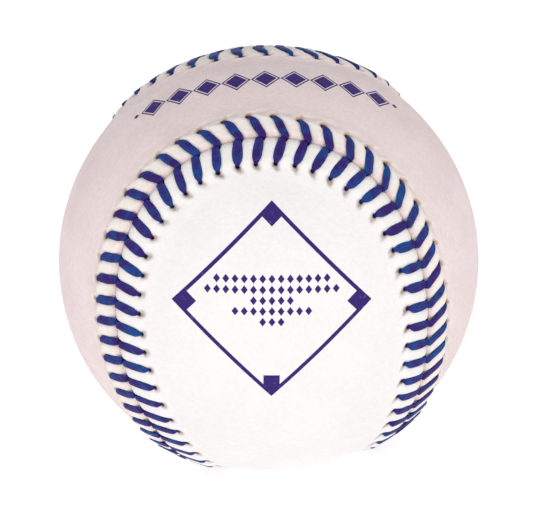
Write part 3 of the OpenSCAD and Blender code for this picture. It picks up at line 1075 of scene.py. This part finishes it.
@dataclass(frozen=True)
class InfieldPrint:
    """Plain infield diamond, pad printed on the near lobe: a line, three bases and a plate.

    A pad presses flat, so the figure is plain in the plane across the line from the ball's
    centre to its middle: a line lies where |x| + |y| is one number.
    """

    centre: tuple[float, float, float] = (0.0045, -0.9254, 0.3738)
    turn: float = 7.43
    reach: float = 16.38
    rise: float = 0.02
    line_w: float = 0.66
    base_half: float = 2.03
    plate_half_w: float = 1.34
    plate_h: float = 3.9
    row_step: float = 1.78
    rows_rise: float = 0.45
    row_lengths: Row = (9.0, 10.5, 3.0, 6.0, 1.5)
    lozenge_step: float = 1.5
    lozenge_half: Pair = (0.57, 0.74)

    def placed(self, add: Adder, place: Socket) -> Iterable[Socket]:
        """Turns Object coordinates into the print's own, in millimetres.

        Args:
            add: Adds a node to the material.
            place: Object coordinates.

        Returns:
            Sockets of the distances to the right, up and outward.
        """
        centre = Vector(self.centre).normalized()
        east = Vector((0.0, 0.0, 1.0)).cross(centre).normalized()
        north = centre.cross(east)
        turn = math.radians(self.turn)
        up = north * math.cos(turn) + east * math.sin(turn)
        right = east * math.cos(turn) - north * math.sin(turn)
        rotation = Matrix((right, up, centre)).to_euler("XYZ")
        flat = add("Mapping", {"Vector": place, "Rotation": rotation, "Scale": (1.0 / MM,) * 3})
        return add("SeparateXYZ", (flat,)).node.outputs

    def mask(self, add: Adder, place: Socket) -> Socket:
        """Where the ink lies.

        Args:
            add: Adds a node to the material.
            place: Object coordinates.

        Returns:
            Socket that is 1 on the ink and 0 off it.
        """
        x, y, outward = self.placed(add, place)
        x = add("Math", (x,), operation="ABSOLUTE")
        y = add("Math", (y, self.rise), operation="SUBTRACT")
        tall = add("Math", (y,), operation="ABSOLUTE")
        ring = add("Math", (x, tall), operation="ADD")
        half = self.line_w / 2.0 * math.sqrt(2.0)
        shapes = [add("Math", (ring, self.reach - half, half), operation="COMPARE")]
        corner = self.reach - self.base_half
        for middle in ((0.0, corner), (corner, 0.0)):
            away = [add("Math", pair, operation="SUBTRACT") for pair in zip((x, y), middle)]
            away = [add("Math", (part,), operation="ABSOLUTE") for part in away]
            away = add("Math", away, operation="ADD")
            shapes.append(add("Math", (away, self.base_half), operation="LESS_THAN"))
        above = add("Math", (y, self.reach), operation="ADD")
        plate = add("Math", (above, x), operation="GREATER_THAN")
        for part, most in ((x, self.plate_half_w), (above, self.plate_h)):
            inside = add("Math", (part, most), operation="LESS_THAN")
            plate = add("Math", (plate, inside), operation="MULTIPLY")
        ink = self.rows(add, x, y)
        for shape in (*shapes, plate):
            ink = add("Math", (ink, shape), operation="MAXIMUM")
        near = add("Math", (outward, 0.0), operation="GREATER_THAN")
        return add("Math", (ink, near), operation="MULTIPLY")

    def rows(self, add: Adder, x: Socket, y: Socket) -> Socket:
        """Rows of small lozenges in the middle of the infield, each as long as its number says.

        Args:
            add: Adds a node to the material.
            x: Distance from the print's upright middle line.
            y: Height above the print's middle.

        Returns:
            Socket that is 1 on a lozenge.
        """
        half_w, half_h = self.lozenge_half
        top = len(self.row_lengths) / 2.0 + self.rows_rise / self.row_step
        down = add("Math", (y, -1.0 / self.row_step, top), operation="MULTIPLY_ADD")
        row = add("Math", (down,), operation="FLOOR")
        length = 0.0
        for index, reach in enumerate(self.row_lengths):
            here = add("Math", (row, float(index), 0.1), operation="COMPARE")
            length = add("Math", (here, reach, length), operation="MULTIPLY_ADD")
        part = add("Math", (down, row), operation="SUBTRACT")
        part = add("Math", (part, 0.5), operation="SUBTRACT")
        part = add("Math", (part,), operation="ABSOLUTE")
        across = add("Math", (x, self.lozenge_step / 2.0), operation="PINGPONG")
        across = add("Math", (across, 1.0 / half_w), operation="MULTIPLY")
        both = add("Math", (part, self.row_step / half_h, across), operation="MULTIPLY_ADD")
        ink = add("Math", (both, 1.0), operation="LESS_THAN")
        reach = add("Math", (length, half_w), operation="ADD")
        within = add("Math", (x, reach), operation="LESS_THAN")
        some = add("Math", (length, 0.5), operation="GREATER_THAN")
        for test in (within, some):
            ink = add("Math", (ink, test), operation="MULTIPLY")
        return ink


@dataclass(frozen=True)
class NeckBand:
    """Plain band of outlined lozenges, printed along the neck of the side panel.

    Along the band runs the angle round the ball's Y axis, times the ball's radius; across it
    runs Y, less a bow that grows as the square of the distance along. The sum of the two
    distances from a lozenge's middle, each over its half size, is 1 on its edge. A small lozenge
    stands at each end of the band.
    """

    ball_r: float
    middle: float = 3.6
    half_length: float = 22.5
    step: float = 5.0
    lozenge_half: Pair = (1.85, 2.1)
    outline: float = 1.25
    outline_half: float = 0.1
    bow: float = 0.003
    end_at: float = 23.5
    end_half: float = 0.62

    def mask(self, add: Adder, place: Socket) -> Socket:
        """Where the ink lies.

        Args:
            add: Adds a node to the material.
            place: Object coordinates.

        Returns:
            Socket that is 1 on the ink and 0 off it.
        """
        half_l, half_h = self.lozenge_half
        x, y, z = add("SeparateXYZ", (place,)).node.outputs
        angle = add("Math", (x, z), operation="ARCTAN2")
        along = add("Math", (angle, self.ball_r, -self.middle), operation="MULTIPLY_ADD")
        along = add("Math", (along,), operation="ABSOLUTE")
        bent = add("Math", (along, along), operation="MULTIPLY")
        bent = add("Math", (bent, -self.bow), operation="MULTIPLY")
        tall = add("Math", (y, 1.0 / MM, bent), operation="MULTIPLY_ADD")
        tall = add("Math", (tall,), operation="ABSOLUTE")
        near = add("Math", (along, self.step / 2.0), operation="PINGPONG")
        near = add("Math", (near, 1.0 / half_l), operation="MULTIPLY")
        reach = add("Math", (tall, 1.0 / half_h, near), operation="MULTIPLY_ADD")
        filled = add("Math", (reach, 1.0), operation="LESS_THAN")
        line = add("Math", (reach, self.outline, self.outline_half), operation="COMPARE")
        both = add("Math", (filled, line), operation="MAXIMUM")
        within = add("Math", (along, self.half_length), operation="LESS_THAN")
        band = add("Math", (both, within), operation="MULTIPLY")
        past = add("Math", (along, self.end_at), operation="SUBTRACT")
        past = add("Math", (past,), operation="ABSOLUTE")
        past = add("Math", (past, tall), operation="ADD")
        end = add("Math", (past, self.end_half), operation="LESS_THAN")
        ink = add("Math", (band, end), operation="MAXIMUM")
        upper = add("Math", (z, 0.0), operation="GREATER_THAN")
        return add("Math", (ink, upper), operation="MULTIPLY")


@dataclass(frozen=True)
class Finish:
    """A surface of one Principled shader; each kind of finish works out the shader's inputs."""

    name: str

    def inputs(self, add: Adder, place: Socket) -> dict[str, object]:
        """Works out the shader's inputs.

        Args:
            add: Adds a node to the material.
            place: Object coordinates.

        Returns:
            Values and sockets, by the input's name.
        """
        raise NotImplementedError

    def build(self) -> bpy.types.Material:
        """Makes the material.

        Returns:
            The new material.
        """
        material = bpy.data.materials.new(self.name)
        add = start_nodes(material)
        shader = add("BsdfPrincipled", self.inputs(add, add("TexCoord", out="Object")))
        add("OutputMaterial", {"Surface": shader})
        return material


@dataclass(frozen=True)
class AlumTannedLeather(Finish):
    """White alum-tanned cowhide, shaved, pigmented and rolled smooth.

    The pigment hides most of the hide, so the eye sees a matt white with a faint flush, a fine
    grain, wax and grime at the holes, and the leather paler where it is taut over the welt. Over
    that lie painted shade in the pits and holes, beside the seam and at the pillows' ends, a
    darker tint along the seam line, and painted highlights on the pillows' crests and beside the
    side panel's holes.
    The pores are drawn coarser than a hide's, so that they show. Each noise is a size in
    millimetres, its detail and its roughness; each range is two levels of a noise and what they
    are turned into.
    """

    print_on_it: InfieldPrint | NeckBand
    base: str
    flush: str
    # Paler tint of taut leather, also laid on as painted highlight.
    stretch_and_highlight_tint: str
    stain_and_shade: str = "a1867a"
    # Colour of the painted shade in the pits and holes.
    painted_shade: str = "2a2530"
    ink: str = "382572"
    roughness: float = 0.58
    uneven_roughness: float = 0.06
    specular: float = 0.12
    pores: float = 0.05
    mottle: Row = (9.0, 4.0, 0.55)
    pore: Row = (0.9, 5.0, 0.65)
    fibre: Row = (0.35, 3.0, 0.6)
    grain_size: float = 0.75
    grain_randomness: float = 0.9
    grain_share: float = 0.6
    bump: float = 0.6
    relief: float = 0.14
    flush_range: Row = (0.35, 0.7, 0.0, 1.0)
    pore_range: Pair = (0.4, 0.64)
    patch_range: Row = (0.38, 0.58, 0.45, 1.0)
    wear_range: Row = (0.3, 0.4, 0.93, 1.0)
    gloss_range: Pair = (0.3, 0.7)

    def inputs(self, add: Adder, place: Socket) -> dict[str, object]:
        """Coats of colour from the pigment's flush to the print, with painted shade and painted highlights
        among them, and the rolled grain.

        Args:
            add: Adds a node to the material.
            place: Object coordinates.

        Returns:
            Values and sockets, by the input's name.
        """
        mottle, speck, fibre = (
            add("TexNoise", {"Vector": place, "Scale": per_mm(size), "Detail": detail, "Roughness": rough})
            for size, detail, rough in (self.mottle, self.pore, self.fibre)
        )
        least, most = self.roughness - self.uneven_roughness, self.roughness + self.uneven_roughness
        flush, dull, patchy, worn, gloss = (
            add("MapRange", spread) for spread in (
                (mottle, *self.flush_range),
                (speck, *self.pore_range, 0.0, self.pores),
                (speck, *self.patch_range),
                (speck, *self.wear_range),
                (mottle, *self.gloss_range, least, most),
            )
        )
        stretch_and_highlight, stain_and_shade, shade = (
            add("Attribute", out="Fac", attribute_name=label) for label in ("stretch_and_highlight", "stain_and_shade", "shade")
        )
        stain_and_shade = add("Math", (stain_and_shade, patchy), operation="MULTIPLY")
        ink = add("Math", (self.print_on_it.mask(add, place), worn), operation="MULTIPLY")
        # The second coat is partly painted highlight, the fourth partly painted shade and the fifth painted
        # shade.
        colour = coats(add, self.base, (
            (flush, self.flush), (stretch_and_highlight, self.stretch_and_highlight_tint), (dull, self.stain_and_shade), (stain_and_shade, self.stain_and_shade),
            (shade, self.painted_shade), (ink, self.ink),
        ))
        grain = add(
            "TexVoronoi",
            {"Vector": place, "Scale": per_mm(self.grain_size), "Randomness": self.grain_randomness},
            out="Distance", feature="SMOOTH_F1",
        )
        height = add("Math", (grain, self.grain_share, fibre), operation="MULTIPLY_ADD")
        bump = add("Bump", {"Height": height, "Strength": self.bump, "Distance": self.relief * MM})
        return {
            "Base Color": colour, "Normal": bump, "Roughness": gloss,
            "Specular IOR Level": self.specular,
        }


@dataclass(frozen=True)
class WaxedThread(Finish):
    """Dyed cotton thread drawn through wax and pressed flat by the needle's pull.

    The plies run nearly along it as fine lines, with painted shade between them. The dye is
    indigo, bluer in clouds and towards the holes, and no two legs have quite the same shade. The
    bluer colour along the edges is painted sheen of the wax, the darker rims are painted shade,
    and the runs hidden under the leather are painted as shade.
    """

    name: str = "waxed_cotton_thread"
    indigo: str = "3a2070"
    blue: str = "125096"
    # Colour of the painted shade between the plies, on the rims and on the hidden runs.
    painted_shade: str = "0a0b22"
    roughness: float = 0.55
    specular: float = 0.1
    plies: float = 4.0
    twist: float = 1.3
    cloud_size: float = 1.6
    cloud_detail: float = 3.0
    cloud_roughness: float = 0.6
    blue_start: float = -1.62
    # The first share, by the edge, is painted sheen.
    blue_shares: Row = (0.5, 0.7, 3.2, -0.25)
    # Painted shade between the plies.
    ply_shade_range: Row = (-1.0, -0.4, 0.3, 0.0)
    # Painted shade on the rims.
    rim_shade_range: Row = (0.72, 1.0, 0.0, 0.45)
    bump: float = 0.4
    relief: float = 0.04

    def inputs(self, add: Adder, place: Socket) -> dict[str, object]:
        """Dye in two tones with painted sheen along the edges, painted shade between the plies, on the rims
        and on the hidden runs, and the plies' relief.

        Args:
            add: Adds a node to the material.
            place: Object coordinates.

        Returns:
            Values and sockets, by the input's name.
        """
        across, leg_part, tone, run, hidden = (
            add("Attribute", out="Fac", attribute_name=label)
            for label in ("across", "leg_part", "tone", "run", "hidden")
        )
        edge = add("Math", (across, across), operation="MULTIPLY")
        cloud = add("TexNoise", {
            "Vector": place, "Scale": per_mm(self.cloud_size), "Detail": self.cloud_detail,
            "Roughness": self.cloud_roughness,
        })
        # The share by the edge is painted sheen of the wax; the others vary the blue with each leg's tone,
        # a cloud and the place along the leg.
        blue = self.blue_start
        for part, share in zip((edge, tone, cloud, leg_part), self.blue_shares):
            blue = add("Math", (part, share, blue), operation="MULTIPLY_ADD")
        blue = add("Clamp", (blue,))
        along = add("Math", (run, self.twist), operation="MULTIPLY")
        turn = add("Math", (across, self.plies * math.pi, along), operation="MULTIPLY_ADD")
        ply = add("Math", (turn,), operation="SINE")
        # Painted shade in the grooves between the plies.
        line = add("MapRange", (ply, *self.ply_shade_range))
        # Painted shade along the rims, where the rounded section turns from the light.
        rim = add("MapRange", (edge, *self.rim_shade_range))
        # The hidden runs, under the leather and in the holes, are painted in the shade colour.
        colour = coats(add, self.indigo, (
            (blue, self.blue), (line, self.painted_shade), (rim, self.painted_shade), (hidden, self.painted_shade)
        ))
        bump = add("Bump", {"Height": ply, "Strength": self.bump, "Distance": self.relief * MM})
        return {
            "Base Color": colour, "Normal": bump, "Roughness": self.roughness,
            "Specular IOR Level": self.specular,
        }


@dataclass(frozen=True)
class InnerFinish(Finish):
    """Finish of a piece under the cover: a colour over a ground, shared out by its pattern."""

    ground: str
    over: str
    roughness: float
    bump: float
    relief: float
    sheen: float = 0.0

    def pattern(self, add: Adder, place: Socket) -> tuple[Socket, Socket]:
        """Share of the upper colour, and height of the relief."""
        raise NotImplementedError

    def inputs(self, add: Adder, place: Socket) -> dict[str, object]:
        """The pattern as colour and as relief.

        Args:
            add: Adds a node to the material.
            place: Object coordinates.

        Returns:
            Values and sockets, by the input's name.
        """
        share, height = self.pattern(add, place)
        return {
            "Base Color": coats(add, self.ground, ((share, self.over),)),
            "Normal": add("Bump", {"Height": height, "Strength": self.bump, "Distance": self.relief * MM}),
            "Roughness": self.roughness,
            "Sheen Weight": self.sheen,
        }


@dataclass(frozen=True)
class CorkComposition(InnerFinish):
    """Ground cork bound with rubber and moulded to a ball: brown granules in a darker binder."""

    name: str = "cork_composition"
    ground: str = "b98a58"
    over: str = "7c5230"
    roughness: float = 0.85
    bump: float = 0.6
    relief: float = 0.2
    granule: float = 1.4
    shades: float = 3.0

    def pattern(self, add: Adder, place: Socket) -> tuple[Socket, Socket]:
        """Cells as wide as a granule, each with its own share of brown."""
        cells = add("TexVoronoi", {"Vector": place, "Scale": per_mm(self.granule)}, out="Distance")
        return add("TexNoise", {"Vector": cells.node.outputs["Color"], "Scale": self.shades}), cells


@dataclass(frozen=True)
class MouldedRubber(InnerFinish):
    """Vulcanised rubber from a mould: even colour, a faint bloom and the mould's fine texture."""

    roughness: float = 0.62
    bump: float = 0.2
    relief: float = 0.05
    bloom_size: float = 5.0
    bloom_detail: float = 4.0
    texture_size: float = 0.4

    def pattern(self, add: Adder, place: Socket) -> tuple[Socket, Socket]:
        """A soft cloud of bloom, and the mould's texture."""
        bloom = add("TexNoise", {
            "Vector": place, "Scale": per_mm(self.bloom_size), "Detail": self.bloom_detail
        })
        return bloom, add("TexNoise", {"Vector": place, "Scale": per_mm(self.texture_size)})


@dataclass(frozen=True)
class WoundYarn(InnerFinish):
    """Yarn wound tight in great circles: strands cross at all angles and make fine ridges.

    Bands of waves, bent by a cloud, cross each other at the yarn's own spacing. The ground
    colour is the darker one, painted shade in the troughs between the ridges.
    """

    roughness: float = 0.9
    bump: float = 0.7
    relief: float = 0.3
    sheen: float = 0.25
    spacing: float = 1.2
    wave_turn: float = 6.28
    bend: float = 2.5
    patch_size: float = 6.0

    def pattern(self, add: Adder, place: Socket) -> tuple[Socket, Socket]:
        """The ridges of crossing strands, as share and as height.

        Args:
            add: Adds a node to the material.
            place: Object coordinates.

        Returns:
            The share of the lighter colour, which leaves the ground's painted shade in the troughs, and
            the height.
        """
        waves = {"Vector": place, "Scale": per_mm(self.spacing * self.wave_turn), "Distortion": self.bend}
        first, second, third = (
            add("TexWave", waves, out=1, bands_direction=way) for way in ("X", "Y", "DIAGONAL")
        )
        patch = add("TexNoise", {"Vector": place, "Scale": per_mm(self.patch_size)})
        ridges = add("Mix", {0: patch, 2: first, 3: second}, data_type="FLOAT")
        ridges = add("Math", (ridges, third), operation="MAXIMUM")
        return ridges, ridges


@dataclass(frozen=True)
class LatexCement(InnerFinish):
    """Rubber cement in which the wound ball is dipped: a thin yellowish film, tacky and glossy."""

    name: str = "latex_cement"
    ground: str = "d9cda6"
    over: str = "b79f66"
    roughness: float = 0.3
    bump: float = 0.3
    relief: float = 0.1
    run_size: float = 4.0
    run_detail: float = 3.0

    def pattern(self, add: Adder, place: Socket) -> tuple[Socket, Socket]:
        """Soft runs, thicker where the colour is deeper."""
        runs = add("TexNoise", {"Vector": place, "Scale": per_mm(self.run_size), "Detail": self.run_detail})
        return runs, runs


@dataclass
class Cover:
    """The two leather panels and the thread that sews them together."""

    seam: Seam = field(default_factory=Seam)

    def build(self) -> None:
        plan = StitchPlan(self.seam)
        infield, band = InfieldPrint(), NeckBand(self.seam.ball_r)
        front = AlumTannedLeather("alum_tanned_leather_front", infield, "f9f6f6", "f7f2f2", "faf6f4")
        # The side panel is the same white cowhide; its pinker, darker base and flush are painted shade.
        side = AlumTannedLeather(
            "alum_tanned_leather_side", band, "faeaeb", "f3e1e2", "fff7f2", stain_and_shade="b98f66", pores=0.1
        )
        for part, finish, slot in (
            (CoverPanel(plan, PanelSide.FRONT, "cover_front", "cover_panel_front"), front, "leather"),
            (CoverPanel(plan, PanelSide.SIDE, "cover_side", "cover_panel_side"), side, "leather"),
            (SewingThread(plan), WaxedThread(), "blue_thread"),
        ):
            piece = part.build()
            piece.data.materials.append(finish.build())
            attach(piece, "root")
            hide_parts(part.node)
            LOG.info("%s: %d triangles", piece.name, len(piece.data.polygons))


@dataclass
class Windings:
    """The solids inside the cover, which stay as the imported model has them."""

    def dress(self) -> None:
        """Gives each inner solid its own finish."""
        for finish, nodes in (
            (CorkComposition(), ("cork_core",)),
            (MouldedRubber("moulded_black_rubber", "1d1d1f", "2e2e31"),
             ("black_rubber_shell_lower", "black_rubber_shell_upper")),
            (MouldedRubber("moulded_red_rubber", "8e2a22", "a03a30"),
             ("rubber_washer", "red_rubber_layer")),
            # In each yarn the first colour is painted shade in the troughs and the second the yarn's own.
            (WoundYarn("wound_grey_wool_four_ply", "5b5a59", "8e8d8b", spacing=1.6), ("first_winding",)),
            (WoundYarn("wound_white_wool_three_ply", "a9a294", "e6e1d6"), ("second_winding",)),
            (WoundYarn("wound_grey_wool_three_ply", "605f5e", "979694"), ("third_winding",)),
            (WoundYarn("wound_cotton_blend_yarn", "b5b0a4", "efece4", spacing=0.5), ("finishing_winding",)),
            (LatexCement(), ("cement_coat",)),
        ):
            material = finish.build()
            for node in nodes:
                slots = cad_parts[node].data.materials
                slots.clear()
                slots.append(material)
                LOG.info("%s: %s", node, finish.name)


@dataclass
class Studio:
    """Pale floor, even white surroundings, one broad lamp in front, and the camera."""

    rest_z: float = -36.383
    floor_half: float = 900.0
    floor_sides: int = 96
    floor_rings: int = 12
    floor_glow: float = 0.26
    floor_seen_glow: float = 0.47
    camera_distance: float = 545.74
    lens: float = 212.0
    sensor_w: float = 36.0
    nearest: float = 0.01
    shift: Pair = (-0.00413, 0.00619)
    azimuth: float = 1.01
    elevation: float = 33.20
    roll: float = -7.75
    fill: float = 1.0
    less_above: float = -0.27
    less_behind: float = -1.75
    lamp_power: float = 0.95
    lamp_from: tuple[float, float, float] = (0.0, -0.82, 0.57)
    lamp_distance: float = 620.0
    lamp_size: float = 620.0

    def seen(self, add: Adder) -> Socket:
        """Finds the rays that see the studio and don't light it.

        Args:
            add: Adds a node to the material or the world.

        Returns:
            Socket that is 1 for rays of the camera, of a reflection and of a refraction.
        """
        rays = add("LightPath").node.outputs
        first = add("Math", (rays["Is Camera Ray"], rays["Is Glossy Ray"]), operation="MAXIMUM")
        return add("Math", (first, rays["Is Transmission Ray"]), operation="MAXIMUM")

    def build_world(self) -> None:
        """White surroundings: strength 1 where seen; as light, weaker from above and from behind.

        The strength falls in a straight line with how high a direction points, and again with
        the product of how high and how far behind it points, but never below nothing.
        """
        world = bpy.data.worlds.new("studio")
        bpy.context.scene.world = world
        add = start_nodes(world)
        ways = add("SeparateXYZ", (add("TexCoord", out="Generated"),)).node.outputs
        behind, rise = (add("Math", (way, 0.0), operation="MAXIMUM") for way in ways[1:])
        both = add("Math", (behind, rise), operation="MULTIPLY")
        strength = self.fill
        for part, less in ((rise, self.less_above), (both, self.less_behind)):
            strength = add("Math", (part, less, strength), operation="MULTIPLY_ADD")
        strength = add("Math", (strength, 0.0), operation="MAXIMUM")
        strength = add("MapRange", (self.seen(add), 0.0, 1.0, strength, 1.0))
        add("OutputWorld", (add("Background", (linear("ffffff"), strength)),))

    def build_floor(self) -> None:
        """A pale round floor under the ball, which keeps the ball's shadow."""
        angle = np.arange(self.floor_sides) * 2.0 * np.pi / self.floor_sides
        circle = np.stack([np.cos(angle), np.sin(angle), 0.0 * angle], axis=-1)
        radii = np.linspace(0.0, self.floor_half, self.floor_rings + 1)[1:, None, None]
        points = np.concatenate([[[0.0, 0.0, 0.0]], (radii * circle).reshape(-1, 3)])
        points = points + [0.0, 0.0, self.rest_z]
        index = 1 + np.arange(self.floor_rings * self.floor_sides).reshape(self.floor_rings, -1)
        fan = np.stack([0 * index[0], index[0], np.roll(index[0], -1)], axis=-1)
        faces = np.concatenate([fan, ring_strip(index[1:], index[:-1])])
        mesh = bpy.data.meshes.new("floor")
        mesh.from_pydata((points * MM).tolist(), [], faces.tolist())
        floor = bpy.data.objects.new("floor", mesh)
        bpy.context.scene.collection.objects.link(floor)
        material = bpy.data.materials.new("painted_studio_floor")
        add = start_nodes(material)
        level = add("MapRange", (self.seen(add), 0.0, 1.0, self.floor_glow, self.floor_seen_glow))
        matt = add("BsdfDiffuse", (linear("f4f4f4"),))
        glow = add("Emission", (linear("ffffff"), level))
        add("OutputMaterial", {"Surface": add("AddShader", (matt, glow))})
        mesh.materials.append(material)

    def build_lamp(self) -> None:
        """One broad square softbox in front of the ball, nearly level with it."""
        away = Vector(self.lamp_from).normalized()
        light = bpy.data.lights.new("softbox", "AREA")
        light.shape = "SQUARE"
        light.size = self.lamp_size * MM
        light.energy = self.lamp_power
        lamp = bpy.data.objects.new("softbox", light)
        turn = away.to_track_quat("Z", "Y").to_matrix().to_4x4()
        lamp.matrix_world = Matrix.Translation(away * self.lamp_distance * MM) @ turn
        bpy.context.scene.collection.objects.link(lamp)

    def build_camera(self) -> None:
        """The camera at the photograph's angle, distance and framing."""
        lens = bpy.data.cameras.new("camera")
        lens.sensor_fit = "HORIZONTAL"
        lens.sensor_width = self.sensor_w
        lens.lens = self.lens
        lens.shift_x, lens.shift_y = self.shift
        lens.clip_start = self.nearest
        camera = bpy.data.objects.new("camera", lens)
        around = Matrix.Rotation(math.radians(self.azimuth), 4, "Z")
        over = Matrix.Rotation(math.radians(90.0 - self.elevation), 4, "X")
        tilt = Matrix.Rotation(math.radians(self.roll), 4, "Z")
        away = Matrix.Translation((0.0, 0.0, self.camera_distance * MM))
        camera.matrix_world = around @ over @ tilt @ away
        bpy.context.scene.collection.objects.link(camera)
        bpy.context.scene.camera = camera

    def build(self) -> None:
        """Builds the surroundings, floor, lamp and camera."""
        self.build_world()
        self.build_floor()
        self.build_lamp()
        self.build_camera()
        bpy.context.scene.view_settings.view_transform = "Standard"


def main() -> None:
    """Builds the studio and the ball."""
    logging.basicConfig(level=logging.INFO, format="%(name)s: %(message)s")
    Studio().build()
    Windings().dress()
    Cover().build()


if __name__ == "__main__":
    main()
